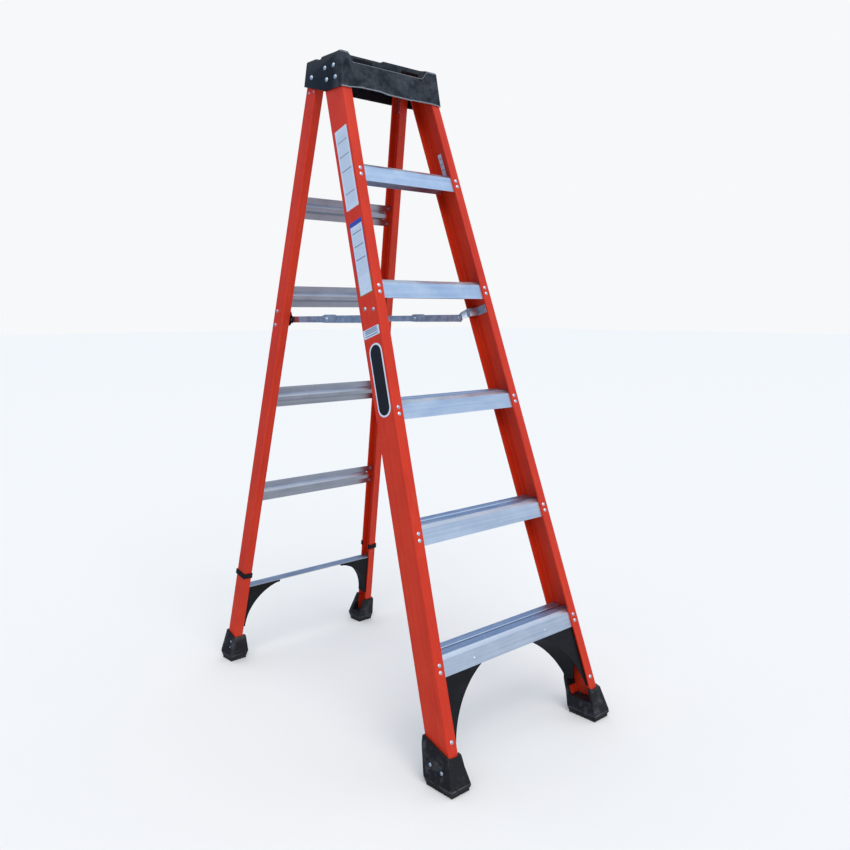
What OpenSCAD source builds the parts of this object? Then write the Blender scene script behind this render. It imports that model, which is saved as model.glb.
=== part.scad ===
// Folding step ladder: fibreglass rails, aluminium steps, moulded cap and feet, two locking spreaders.
// Millimetres. X is to the right as the climber faces the steps, +Y is behind the ladder, +Z is up.
// The origin is on the floor, at the middle of the open ladder's footprint.

/* [Overall] */
// Height from one step to the next
rise = 304.8; // [290:0.1:320]
// Lean of the front rails from the vertical, in degrees
front_lean = 18; // [16:0.1:20]
// Lean of the rear rails from the vertical, in degrees
rear_lean = 11.86; // [10:0.1:13]
// Half the width over the front rails, at the floor
front_half = 295.6; // [270:1:330]
// Half the width over the rear rails, at the floor
rear_half = 288.4; // [263:1:323]
// How much the front rails close in on each side, in degrees
front_flare = 3.81; // [3.4:0.01:4.2]
// How much the rear rails close in on each side, in degrees
rear_flare = 3.9; // [3.5:0.01:4.3]

/* [Rails] */
// Depth of a front rail's web
front_web = 77.7; // [70:0.1:90]
// Width of a front rail's flanges
front_flange = 29.3; // [26:0.1:34]
// Depth of a rear rail's web
rear_web = 44.9; // [42:0.1:48]
// Width of a rear rail's flanges
rear_flange = 26; // [24:0.1:30]
// Wall of the rails
rail_wall = 4; // [3:0.1:5]
// Outer corner radius of the rails
rail_corner = 3; // [2:0.1:3.5]
// Height at which the rails end above the floor, inside the feet
rail_lift = 14; // [11:0.5:20]

/* [Steps and horizontals] */
// Drop of a tread below its nominal level
tread_drop = 3; // [0:0.5:6]
// Depth of a step's front and rear skirts below the tread
step_skirt = 46; // [42:0.5:50]
// Wall of the steps
step_wall = 2.4; // [1.8:0.1:3]
// Height of the nose bevel at a step's front edge
nose_drop = 7; // [4:0.5:9]
// Depth of the nose bevel
nose_run = 12; // [8:0.5:16]
// Depth of the groove along the middle of a tread
tread_groove = 2.5; // [1:0.1:4]
// Width of that groove at its bottom
groove_width = 8; // [5:0.5:12]
// Height of the tread ribs
tread_rib = 0.8; // [0.5:0.1:1.2]
// Gap between the rails' webs and the ends of the steps, horizontals and bar
end_gap = 3; // [2.8:0.1:6]
// Height of a rear horizontal over its two bands
hat_height = 63; // [58:0.5:68]
// Depth of a rear horizontal's crown
hat_depth = 20; // [16:0.5:24]
// Wall of the rear horizontals
hat_wall = 2; // [1.5:0.1:2.5]
// Drop of the top rear horizontal below the level of the others
top_hat_drop = 50; // [40:1:60]
// Height of the rear bottom bar's top face above the floor
bar_height = 257; // [240:1:270]
// Wall of the rear bottom bar
bar_wall = 3; // [2.5:0.1:4]
// Depth of the rear bottom bar's rear skirt
bar_skirt = 14; // [10:0.5:20]

/* [Cap] */
// Wall of the cap's plates and skirts
cap_wall = 4; // [3:0.1:5]
// Height of the rear frame's pivot below the ladder's nominal height
pivot_drop = 58.8; // [52:0.1:64]
// Distance from the pivot to the plane of the front rails' front faces
pivot_behind = 121.1; // [118:0.1:128]
// Distance from the pivot to the plane of the rear rails' front faces
pivot_inset = 16.3; // [14:0.1:19]
// Height of the cap's end blocks below the ladder's nominal height
block_drop = 12; // [9:0.5:15]
// Height of the cap's deck below the ladder's nominal height
deck_drop = 17; // [15:0.5:19]
// Width of each end block
block_width = 34; // [28:1:44]

/* [Spreaders] */
// Height of the spreaders' front pivots
link_front_z = 1115; // [1080:1:1130]
// Distance of the front pivots behind the front rails' rear faces
link_front_gap = 20.7; // [16:0.1:22]
// Height of the spreaders' rear pivots
link_rear_z = 1111; // [1080:1:1130]
// Distance of the rear pivots behind the rear rails' front faces
link_rear_gap = 1.3; // [0:0.1:4]
// Distance from the ladder's middle plane to the middle of a front arm
link_x = 167; // [163:0.1:167.5]
// Wall of the front arms
front_arm_wall = 2.5; // [2:0.1:2.8]
// Height of the front arms
front_arm_height = 20.6; // [18:0.1:24]
// Wall of the rear arms
rear_arm_wall = 2; // [1.6:0.1:2.2]
// Height of the rear arms behind their channel
rear_arm_height = 18; // [16:0.1:20]
// Sideways step of a rear arm towards its rail
arm_joggle = 5; // [3:0.1:6]
// Length of a rear arm's channel in front of the middle pivot
channel_front = 37; // [30:1:42]
// Length of a rear arm's channel behind the middle pivot
channel_back = 22; // [16:1:30]

/* [Feet and gussets] */
// Height of the feet's outer plates
foot_height = 110; // [100:1:120]
// Wall of the feet around the rails
foot_wall = 4; // [3:0.1:5]
// Thickness of the rubber treads
tread_pad = 8; // [6:0.5:10]
// Length of a front gusset along the step, from the middle plane
front_gusset_reach = 117; // [100:1:140]
// Length of a rear gusset along the bottom bar, from the middle plane
rear_gusset_reach = 127; // [110:1:150]
// How far a front gusset's round edge bows in from its chord
front_gusset_bow = 25; // [15:1:32]
// How far a rear gusset's round edge bows in from its chord
rear_gusset_bow = 32; // [20:1:36]
// Wall of the gussets
gusset_wall = 3; // [2.5:0.1:4]

/* [Fasteners and fits] */
// Radius of the rivets' shanks
rivet_r = 3; // [2.5:0.1:3.2]
// Radius of the rivets' heads
rivet_head_r = 5.3; // [4:0.1:6]
// Radial clearance of the rivets in their holes
rivet_clear = 0.1; // [0.05:0.01:0.2]
// Radius of the rear frame's pivot bolts
bolt_r = 5; // [4:0.1:6]
// Radius of the spreaders' pivot pins
pin_r = 3.5; // [3:0.1:4]
// Radial running clearance of the moving pivots
running_fit = 0.08; // [0.03:0.01:0.1]
// Side gap between spreader parts that move past each other
side_gap = 0.3; // [0.25:0.05:0.4]
// Thickness of the washers at the rear frame's pivots
washer_wall = 2.6; // [2:0.1:2.8]

/* [Hidden] */
SIDES = ["left", "right"];

$fn = 32;
FAR = 3000;
orange = [0.85, 0.22, 0.12];
aluminium = [0.75, 0.78, 0.8];
zinc = [0.66, 0.72, 0.78];
black = [0.12, 0.12, 0.13];
rubber = [0.08, 0.08, 0.08];

// The nominal height, and the main levels that follow it
top_z = 6 * rise;
pivot_z = top_z - pivot_drop;
block_z = top_z - block_drop;
deck_z = top_z - deck_drop;
rim_z = top_z - 32.8;
cap_bottom_z = top_z - 105.8;
cap_rear_z = top_z - 75;

// Horizontal places of the two frames: the pivot's Y puts the footprint's middle at the origin
front_foot_toe = foot_wall / cos(front_lean);
rear_foot_heel = 10;
front_run = pivot_z * tan(front_lean) + pivot_behind / cos(front_lean);
rear_run = pivot_z * tan(rear_lean) - pivot_inset / cos(rear_lean);
rear_depth_y = rear_web / cos(rear_lean);
pivot_y = (front_run + front_foot_toe - rear_run - rear_depth_y - rear_foot_heel) / 2;
front_y = pivot_y - front_run;
rear_y = pivot_y + rear_run;

// Y of a front-frame or rear-frame point at height z and at depth v behind that frame's front plane
function yf(z, v) = front_y + z * tan(front_lean) + v / cos(front_lean);
function yr(z, v) = rear_y - z * tan(rear_lean) + v / cos(rear_lean);
// Distance up a frame's plane of a point at height z and depth v
function sf(z, v) = (z + v * sin(front_lean)) / cos(front_lean);
function sr(z, v) = (z - v * sin(rear_lean)) / cos(rear_lean);
// Distance along a rail of a point at height z, depth v and distance u in from the web's outer face
function wf(z, v, u) = (sf(z, v) + u * sin(front_flare)) / cos(front_flare);
function wr(z, v, u) = (sr(z, v) + u * sin(rear_flare)) / cos(rear_flare);
// Half the width over the webs at height z and depth v
function xf(z, v) = front_half - sf(z, v) * tan(front_flare);
function xr(z, v) = rear_half - sr(z, v) * tan(rear_flare);

// The spreaders' pivots, as [y, z]
link_front = [yf(link_front_z, front_web) + link_front_gap / cos(front_lean), link_front_z];
link_rear = [yr(link_rear_z, link_rear_gap), link_rear_z];
link_span = norm(link_rear - link_front);
hinge_yz = [pivot_y, pivot_z];
// The arms fold flat when their lengths differ by as much as their pivots' distances from the hinge
link_offset = norm(link_front - hinge_yz) - norm(link_rear - hinge_yz);
front_arm_length = (link_span + link_offset) / 2;
link_pitch = atan2(link_rear[1] - link_front[1], link_rear[0] - link_front[0]);

// Levels of the steps and the rear horizontals
function tread_z(i) = i * rise - tread_drop;
function hat_z(i) = (i < 4 ? (i + 1) * rise : 5 * rise - top_hat_drop) - 10;
step_rivet_drops = [14.2, 30.4];

// ---- frames and small shapes -------------------------------------------------------------------

module sided(side) {
    mirror([side == "right" ? 1 : 0, 0, 0]) children();
}
module both_sides() {
    for (side = SIDES) sided(side) children();
}
// A frame's plane: X across, Y behind its front face, Z up along it
module in_front() {
    translate([0, front_y, 0]) rotate([-front_lean, 0, 0]) children();
}
module in_rear() {
    translate([0, rear_y, 0]) rotate([rear_lean, 0, 0]) children();
}
// The left rails' own axes: X in from the web's outer face, Y behind the front flange, Z along the rail
module front_axes() {
    in_front() translate([-front_half, 0, 0]) rotate([0, front_flare, 0]) children();
}
module rear_axes() {
    in_rear() translate([-rear_half, 0, 0]) rotate([0, rear_flare, 0]) children();
}
// An outline in [y, z], drawn out along X from x0 to x1
module along_x(x0, x1) {
    translate([x0, 0, 0]) rotate([90, 0, 90]) linear_extrude(x1 - x0) children();
}
// An outline in [x, z], drawn out along Y from y0 to y1
module along_y(y0, y1) {
    translate([0, y1, 0]) rotate([90, 0, 0]) linear_extrude(y1 - y0) children();
}
module rod_x(x0, x1, r) {
    translate([x0, 0, 0]) rotate([0, 90, 0]) cylinder(h = x1 - x0, r = r);
}
module level_slab(z0, z1) {
    translate([-FAR / 2, -FAR / 2, z0]) cube([FAR, FAR, z1 - z0]);
}

// A rivet with its head's underside at the origin and its shank along -Z
module rivet(grip, head = rivet_head_r, shank = rivet_r) {
    height = head * 0.42;
    rotate_extrude($fn = 24)
        polygon(concat(
            [for (a = [0:15:90]) [head * cos(a), height * sin(a)]],
            [[0, -grip - 1.4], [shank + 0.9, -grip - 1.4], [shank + 0.9, -grip]],
            [[shank, -grip], [shank, 0]]));
}
module rivet_hole(grip, shank = rivet_r) {
    translate([0, 0, -grip - 1]) cylinder(h = grip + 2, r = shank + rivet_clear, $fn = 24);
}
// Places for a fastener in a rail's own axes: its head points out of the web, or out of a flange
module out_of_web(v, w) {
    translate([0, v, w]) rotate([0, -90, 0]) children();
}
module out_of_front(u, w) {
    translate([u, 0, w]) rotate([90, 0, 0]) children();
}
module out_of_back(u, w, depth) {
    translate([u, depth, w]) rotate([-90, 0, 0]) children();
}

// ---- rails -------------------------------------------------------------------------------------

module channel_outline(web, flange, corner, wall, fillet = 2.5) {
    difference() {
        union() {
            translate([corner, 0]) square([flange - corner, web]);
            translate([0, corner]) square([corner, web - 2 * corner]);
            for (v = [corner, web - corner]) translate([corner, v]) circle(corner);
        }
        difference() {
            translate([wall, wall]) square([flange, web - 2 * wall]);
            for (v = [wall, web - wall]) translate([wall, v]) difference() {
                square(2 * fillet, center = true);
                translate([fillet, v == wall ? fillet : -fillet]) circle(fillet);
            }
        }
    }
}
rivet_inset = 16;
cap_rivet_head_r = 6.2;
cap_rivet_places = [for (v = [20, front_web - 19.7], drop = [46, 78]) [v, drop]];
front_foot_rivet_places = [[22, 47], [front_web - 17.7, 52]];
rear_foot_rivet_places = [[16, 46], [16, 66]];
front_foot_seat = foot_wall + 8;
front_bracket_rivet_places = [18.6, 51.7];
front_bracket_z = link_front_z + 26;
rear_bracket_rivet_places = [[31, link_rear_z - 16], [31, link_rear_z + 24]];
hinge_plate_rivet_places = [[10, pivot_z - 35], [30, pivot_z - 36]];
gusset_foot_rivet_z = 116;
rear_gusset_rivet_zs = [205, 150];

module step_rivet_sites(i) {
    for (drop = step_rivet_drops) {
        z = tread_z(i) - drop;
        out_of_front(rivet_inset, wf(z, 0, rivet_inset)) children(0);
        out_of_back(rivet_inset, wf(z, front_web, rivet_inset), front_web) children(1);
    }
}
module front_rail(side) {
    color(orange) sided(side) difference() {
        intersection() {
            front_axes() translate([0, 0, -100]) linear_extrude(top_z / cos(front_lean) + 100)
                channel_outline(front_web, front_flange, rail_corner, rail_wall);
            level_slab(rail_lift, deck_z - 14);
        }
        front_axes() {
            for (i = [1:5]) step_rivet_sites(i) {
                rivet_hole(rail_wall);
                rivet_hole(rail_wall);
            }
            for (p = cap_rivet_places) out_of_web(p[0], wf(top_z - p[1], p[0], 0)) rivet_hole(rail_wall);
            for (p = front_foot_rivet_places) out_of_web(p[0], wf(p[1], p[0], 0)) rivet_hole(rail_wall);
            for (v = front_bracket_rivet_places)
                out_of_web(v, wf(front_bracket_z, v, 0)) rivet_hole(rail_wall);
            out_of_front(rivet_inset, wf(gusset_foot_rivet_z, 0, rivet_inset)) rivet_hole(rail_wall);
        }
    }
}
module rear_rivet_site(z, u) {
    out_of_back(u, wr(z, rear_web, u), rear_web) children();
}
hat_rivet_u = 15;
gusset_gap = 0.2;
bar_grip = rail_wall + bar_wall + gusset_gap + gusset_wall;
module hat_rivet_sites() {
    for (i = [1:4], dz = [9, hat_height - 9]) rear_rivet_site(hat_z(i) - dz, hat_rivet_u) children();
}
module bar_rivet_sites() {
    rear_rivet_site(bar_height - 9, hat_rivet_u) children();
}
module rear_rail(side) {
    color(orange) sided(side) difference() {
        intersection() {
            rear_axes() translate([0, 0, -100]) linear_extrude(top_z / cos(rear_lean) + 100)
                channel_outline(rear_web, rear_flange, rail_corner, rail_wall);
            level_slab(rail_lift, FAR);
            in_rear() level_slab(-100, sr(pivot_z, pivot_inset) + 17);
        }
        rear_axes() {
            hat_rivet_sites() rivet_hole(rail_wall);
            bar_rivet_sites() rivet_hole(rail_wall);
            for (z = rear_gusset_rivet_zs) rear_rivet_site(z, hat_rivet_u) rivet_hole(rail_wall);
            for (p = rear_foot_rivet_places) out_of_web(p[0], wr(p[1], p[0], 0)) rivet_hole(rail_wall);
            for (p = rear_bracket_rivet_places) out_of_web(p[0], wr(p[1], p[0], 0)) rivet_hole(rail_wall);
            for (p = hinge_plate_rivet_places) out_of_web(p[0], wr(p[1], p[0], 0)) rivet_hole(rail_wall, 2);
        }
        translate([0, pivot_y, pivot_z]) rod_x(-front_half, 0, bolt_r + running_fit);
    }
}

// ---- steps and horizontals ---------------------------------------------------------------------

// The tread's ribs run along it, in two bands either side of the groove
function rib_first(z) = yf(z, rail_wall) + nose_run + 3;
function rib_pitch(z) = (yf(z, front_web - rail_wall) - 7 - rib_first(z)) / 9;
function tread_middle(z) = rib_first(z) + 4.5 * rib_pitch(z);
module step_outline(z) {
    v0 = rail_wall;
    v1 = front_web - rail_wall;
    wall_y = step_wall / cos(front_lean);
    low = z - step_skirt;
    mid = tread_middle(z);
    half = groove_width / 2;
    polygon([
        [yf(low, v0), low],
        [yf(z - nose_drop, v0), z - nose_drop],
        [yf(z - nose_drop, v0) + nose_run, z],
        [mid - half - tread_groove / 2, z],
        [mid - half, z - tread_groove],
        [mid + half, z - tread_groove],
        [mid + half + tread_groove / 2, z],
        [yf(z, v1) - 4, z],
        [yf(z - 3, v1), z - 3],
        [yf(low, v1), low],
        [yf(low, v1) - wall_y, low],
        [yf(z - 3 - step_wall, v1) - wall_y, z - 3 - step_wall],
        [yf(z - 3 - step_wall, v1) - wall_y - 2, z - step_wall],
        [mid + half + tread_groove / 2 + 1, z - step_wall],
        [mid + half + 1, z - tread_groove - step_wall],
        [mid - half - 1, z - tread_groove - step_wall],
        [mid - half - tread_groove / 2 - 1, z - step_wall],
        [yf(z - nose_drop, v0) + nose_run + 1, z - step_wall],
        [yf(z - nose_drop - 1, v0) + wall_y, z - nose_drop - 1],
        [yf(low, v0) + wall_y, low]]);
}
// The gusset's small rivet near its end, through step 1's front skirt
module gusset_step_rivet_site() {
    z = tread_z(1) - 29;
    in_front() translate([-front_gusset_reach - 21, rail_wall, sf(z, rail_wall)])
        rotate([90, 0, 0]) children();
}
module step(i) {
    z = tread_z(i);
    half = xf(z, front_web) - rail_wall / cos(front_flare) - end_gap;
    color(aluminium) difference() {
        union() {
            along_x(-half, half) step_outline(z);
            for (k = [0:9]) if (k != 4 && k != 5) {
                place = k < 4 ? k * 0.9 : 9 - (9 - k) * 0.9;
                translate([-half, rib_first(z) + place * rib_pitch(z) - 1.2, z - 0.4])
                    cube([2 * half, 2.4, tread_rib + 0.4]);
            }
        }
        both_sides() front_axes() step_rivet_sites(i) {
            rivet_hole(rail_wall + step_wall);
            rivet_hole(rail_wall + step_wall);
        }
        if (i == 1) both_sides() gusset_step_rivet_site() rivet_hole(step_wall);
    }
}

hat_band = 18;
module hat_outline() {
    v = rear_web - rail_wall;
    h = hat_height;
    front = v - hat_depth;
    crown = h / 2 - 6;
    polygon([
        [v, 0], [v, hat_band + 1], [front + hat_wall, crown + 1], [front + hat_wall, h - crown - 1],
        [v, h - hat_band - 1], [v, h], [v - hat_wall, h], [v - hat_wall, h - hat_band],
        [front, h - crown], [front, crown], [v - hat_wall, hat_band], [v - hat_wall, 0]]);
}
module rear_horizontal(i) {
    low = sr(hat_z(i), rear_web - rail_wall) - hat_height;
    inner = xr(hat_z(i), rear_web) - rail_wall / cos(rear_flare) - end_gap;
    crown_half = xr(hat_z(i), 0) - rear_flange - 9;
    color(aluminium) difference() {
        in_rear() translate([0, 0, low]) difference() {
            along_x(-inner, inner) hat_outline();
            for (side = [-1, 1])
                translate([side * (crown_half + 50) - 50, -20, -1])
                    cube([100, rear_web - rail_wall - hat_wall + 20, hat_height + 2]);
        }
        both_sides() rear_axes() hat_rivet_sites() rivet_hole(rail_wall + hat_wall);
    }
}
module rear_bottom_bar() {
    v0 = rail_wall + 0.3;
    v1 = rear_web - rail_wall;
    z = bar_height;
    half = xr(z, rear_web) - rail_wall / cos(rear_flare) - end_gap;
    wall_y = bar_wall / cos(rear_lean);
    color(aluminium) difference() {
        union() {
            along_x(-half, half) polygon([
                [yr(z, v0), z], [yr(z, v1), z], [yr(z - bar_skirt, v1), z - bar_skirt],
                [yr(z - bar_skirt, v1) - wall_y, z - bar_skirt],
                [yr(z - bar_wall, v1) - wall_y, z - bar_wall],
                [yr(z - bar_wall, v0), z - bar_wall]]);
            for (k = [0:6])
                translate([-half, yr(z, v0) + 2 + k * (v1 - v0 - 3) / 6 - 0.9, z - 0.4])
                    cube([2 * half, 1.8, tread_rib + 0.4]);
        }
        both_sides() rear_axes() bar_rivet_sites() rivet_hole(rail_wall + bar_wall);
    }
}

// ---- cap and hinge -----------------------------------------------------------------------------

// The cap's side outline, in [y, z]
cap_nose_low = yf(cap_bottom_z, 0) - cap_wall / cos(front_lean);
cap_nose_high = cap_nose_low + 12;
cap_heel_low = pivot_y + 41.5;
cap_heel_high = pivot_y + 32;
cap_vertex_y = yf(cap_bottom_z, front_web) - 6;
module cap_side_outline() {
    notch = yf(block_z, front_web);
    polygon([
        [cap_nose_low, cap_bottom_z], [cap_vertex_y, cap_bottom_z], [cap_heel_low, cap_rear_z],
        [cap_heel_high, block_z], [notch + 14, block_z], [notch + 8, deck_z],
        [notch - 10, deck_z], [notch - 15, block_z - 1], [cap_nose_high + 6, block_z + 1],
        [cap_nose_high, block_z - 4]]);
}
// The space between the planes of the two front webs, made wider by grow on each side
module between_webs(grow) {
    intersection_for(side = SIDES) sided(side) front_axes()
        translate([-grow, -500, -200]) cube([FAR, FAR, FAR]);
}
module cap_shell() {
    rail_front = yf(cap_bottom_z, 0) - rivet_clear;
    difference() {
        intersection() {
            along_x(-FAR / 4, FAR / 4) cap_side_outline();
            between_webs(cap_wall);
        }
        // the hollow that takes the rails
        intersection() {
            along_x(-FAR / 4, FAR / 4) polygon([
                [rail_front, cap_bottom_z - 20], [cap_heel_low + 10, cap_bottom_z - 20],
                [cap_heel_low - 1, cap_rear_z - 20], [cap_heel_high - cap_wall, deck_z - cap_wall],
                [cap_nose_high + cap_wall, deck_z - cap_wall], [rail_front, cap_bottom_z]]);
            between_webs(0);
        }
        // the front, cut back between the end blocks to a leaning skirt
        intersection() {
            in_front() translate([-FAR / 2, -FAR - cap_wall, 0]) cube([FAR, FAR, FAR]);
            cap_middle(block_width, cap_bottom_z - 10, FAR);
        }
        // the tray between the end blocks
        intersection() {
            translate([-FAR / 2, -FAR / 2, deck_z]) cube([FAR, FAR, FAR]);
            cap_middle(block_width, 0, FAR);
        }
    }
}
// The middle of the cap, in from its side plates by inset
module cap_middle(inset, z0, z1) {
    half = xf(block_z, 0) + cap_wall - inset;
    translate([-half, -FAR / 2, z0]) cube([2 * half, FAR, z1 - z0]);
}
cap_slot_z = rim_z + 3;
cap_slot_length = 66;
module cap_band() {
    half = xf(block_z, 0) + cap_wall - block_width;
    y0 = yf(rim_z, 0) + 1;
    difference() {
        union() {
            translate([-half - 1, y0, rim_z - 4]) cube([half - 10, cap_wall, deck_z + 3.5 - rim_z + 4]);
            translate([-12, y0, rim_z - 4]) cube([half + 13, cap_wall, deck_z + 8 - rim_z + 4]);
            translate([-half - 1, y0 - 6, rim_z - cap_wall]) cube([2 * half + 2, 8, cap_wall]);
        }
        for (x = [-86, 82]) translate([x - cap_slot_length / 2, y0 - 10, cap_slot_z])
            cube([cap_slot_length, 30, 8]);
        translate([-22, y0 - 10, cap_slot_z]) cube([30, 30, 5]);
    }
}
module cap_skirt() {
    half = xf(block_z, 0) + cap_wall - block_width + 2;
    in_front() along_y(-cap_wall, 0) polygon([
        [-half, sf(cap_bottom_z, 0)], [-half + 14, sf(cap_bottom_z, 0) - 1],
        [-half + 24, sf(cap_bottom_z + 5, 0)],
        [-34, sf(cap_bottom_z + 5, 0)], [-22, sf(cap_bottom_z + 1, 0)], [half - 60, sf(cap_bottom_z + 1, 0)],
        [half - 50, sf(cap_bottom_z + 3, 0)], [half - 20, sf(cap_bottom_z + 3, 0)],
        [half, sf(cap_bottom_z, 0)],
        [half, sf(rim_z, 0)], [-half, sf(rim_z, 0)]]);
}
tool_hole_r = 8;
module top_cap() {
    tool_hole_y = (yf(deck_z, 0) + cap_heel_high) / 2;
    color(black) difference() {
        union() {
            cap_shell();
            cap_skirt();
            cap_band();
        }
        // tool holes through the deck
        for (x = [-95, -70, 70, 95]) translate([x, tool_hole_y + 20, deck_z - 10])
            cylinder(h = 20, r = tool_hole_r);
        translate([-30, tool_hole_y - 12, deck_z - 10]) cube([60, 40, 20]);
        both_sides() {
            front_axes() for (p = cap_rivet_places)
                out_of_web(p[0], wf(top_z - p[1], p[0], 0)) translate([0, 0, cap_wall]) rivet_hole(cap_wall);
            translate([0, pivot_y, pivot_z]) rod_x(-front_half, 0, bolt_r + rivet_clear);
        }
    }
}
module hinge_bolts() {
    outer = xf(pivot_z, pivot_behind) + cap_wall + 0.8;
    inner = xr(pivot_z, pivot_inset) - rail_wall - gusset_wall - 2;
    color(zinc) both_sides() translate([0, pivot_y, pivot_z]) rotate([0, -90, 0])
        rotate_extrude() polygon(concat(
            [for (a = [0:15:90]) [6.4 * cos(a), outer + 3.4 * sin(a)]],
            [[0, inner - 5], [8, inner - 5], [8, inner], [bolt_r, inner], [bolt_r, outer]]));
}
module hinge_washers() {
    color(black) both_sides() difference() {
        intersection() {
            translate([0, pivot_y, pivot_z]) rod_x(-front_half, 0, 11);
            front_axes() translate([0, -500, 0]) cube([washer_wall, 1500, FAR]);
        }
        translate([0, pivot_y, pivot_z]) rod_x(-front_half, 0, bolt_r + rivet_clear);
    }
}
// A steel plate behind each rear web spreads the pivot's load
module hinge_plate(side) {
    w0 = wr(pivot_z - 46, 0, 0);
    color(zinc) sided(side) difference() {
        rear_axes() translate([rail_wall, rail_wall + 2.6, w0])
            cube([gusset_wall, rear_web - 2 * rail_wall - 5.2, wr(pivot_z + 12, 0, 0) - w0]);
        translate([0, pivot_y, pivot_z]) rod_x(-front_half, 0, bolt_r + running_fit);
        rear_axes() for (p = hinge_plate_rivet_places)
            out_of_web(p[0], wr(p[1], p[0], 0)) rivet_hole(rail_wall + gusset_wall, 2);
    }
}

// ---- spreaders ---------------------------------------------------------------------------------

front_arm_out = link_x + front_arm_wall / 2;
front_arm_in = link_x - front_arm_wall / 2;
rear_arm_in = front_arm_out + side_gap;
rear_arm_out = rear_arm_in + rear_arm_wall;
rear_eye_in = rear_arm_in + arm_joggle;
rear_eye_out = rear_arm_out + arm_joggle;

// An arm's axes: Y runs along the arm from its front pivot
module arm_axes() {
    translate([0, link_front[0], link_front[1]]) rotate([link_pitch, 0, 0]) children();
}
module front_arm(side) {
    h = front_arm_height;
    color(zinc) sided(side) difference() {
        arm_axes() difference() {
            along_x(-front_arm_out, -front_arm_in) union() {
                translate([0, -h / 2]) square([front_arm_length, h]);
                circle(h / 2);
                translate([front_arm_length, 0]) circle(h / 2);
            }
            translate([0, front_arm_length, 0]) rod_x(-front_half, 0, pin_r + 0.6);
            translate([0, front_arm_length * 0.37, 0]) rod_x(-front_arm_in - 1, 0, 3);
        }
        translate([0, link_front[0], link_front[1]]) rod_x(-front_half, 0, pin_r + running_fit);
    }
}
module rear_arm(side) {
    y_end = link_span;
    y_mid = front_arm_length;
    y_channel = y_mid + channel_back;
    h = rear_arm_height;
    channel_top = 13;
    bend_0 = y_end - 66;
    bend_1 = y_end - 36;
    color(zinc) sided(side) difference() {
        arm_axes() difference() {
            union() {
                // the flat strip, stepped out towards the rail, seen from above
                intersection() {
                    translate([0, 0, -h / 2]) linear_extrude(h) polygon([
                        [-rear_arm_out, y_mid - 5], [-rear_arm_out, bend_0], [-rear_eye_out, bend_1],
                        [-rear_eye_out, y_end + h], [-rear_eye_in, y_end + h], [-rear_eye_in, bend_1],
                        [-rear_arm_in, bend_0], [-rear_arm_in, y_mid - 5]]);
                    along_x(-front_half, 0) union() {
                        translate([0, -h]) square([y_end, 2 * h]);
                        translate([y_end, 0]) circle(h / 2);
                    }
                }
                // the channel around the front arm
                along_x(-rear_arm_out, -rear_arm_in) channel_side(y_mid, y_channel, channel_top, h);
                along_x(-front_arm_in + side_gap, -front_arm_in + side_gap + rear_arm_wall)
                    channel_side(y_mid, y_mid + 14, channel_top, h);
                translate([-rear_arm_out, y_mid - channel_front, channel_top - rear_arm_wall * 0.8])
                    cube([rear_arm_out - front_arm_in + side_gap + rear_arm_wall, channel_front + 8,
                          rear_arm_wall * 0.8]);
            }
            translate([0, y_mid, 0]) rod_x(-front_half, 0, pin_r + rivet_clear);
        }
        translate([0, link_rear[0], link_rear[1]]) rod_x(-front_half, 0, pin_r + running_fit);
    }
}
module channel_side(y_mid, y_back, top, h) {
    polygon([
        [y_mid - channel_front, -h / 2 - 1], [y_mid - channel_front, top], [min(y_mid + 8, y_back), top],
        [y_back, h / 2], [y_back, -h / 2], [y_mid + 8, -h / 2 - 1]]);
}
// The middle pivot is open: each side of the channel carries its own half of the rivet
module centre_rivet(side) {
    stub = rear_arm_wall;
    color(zinc) sided(side) arm_axes() translate([0, front_arm_length, 0]) {
        translate([-rear_arm_out, 0, 0]) rotate([0, -90, 0]) rivet_half(stub);
        translate([-front_arm_in + side_gap + rear_arm_wall, 0, 0]) rotate([0, 90, 0]) rivet_half(stub);
    }
}
module rivet_half(stub) {
    head = 5.6;
    rotate_extrude($fn = 24) polygon(concat(
        [for (a = [0:15:90]) [head * cos(a), 2.6 * sin(a)]], [[0, -stub], [pin_r, -stub], [pin_r, 0]]));
}
module headed_pin(r, reach) {
    head = r + 2.2;
    rotate_extrude($fn = 24) polygon(concat(
        [for (a = [0:15:90]) [head * cos(a), 2.2 * sin(a)]],
        [[0, -reach - 1.4], [head - 0.6, -reach - 1.4], [head - 0.6, -reach], [r, -reach], [r, 0]]));
}
tab_wall = 2.5;
tab_in = front_arm_out + side_gap;
tab_out = tab_in + tab_wall;
module front_arm_pins() {
    color(zinc) both_sides() translate([-front_arm_in + side_gap, link_front[0], link_front[1]])
        rotate([0, 90, 0]) headed_pin(pin_r, tab_out - front_arm_in + side_gap);
}
lug_wall = 3.4;
lug_in = rear_eye_out + side_gap;
lug_out = lug_in + lug_wall;
module rear_arm_pins() {
    color(zinc) both_sides() translate([-rear_eye_in + side_gap, link_rear[0], link_rear[1]])
        rotate([0, 90, 0]) headed_pin(pin_r, lug_out - rear_eye_in + side_gap);
}
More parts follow.
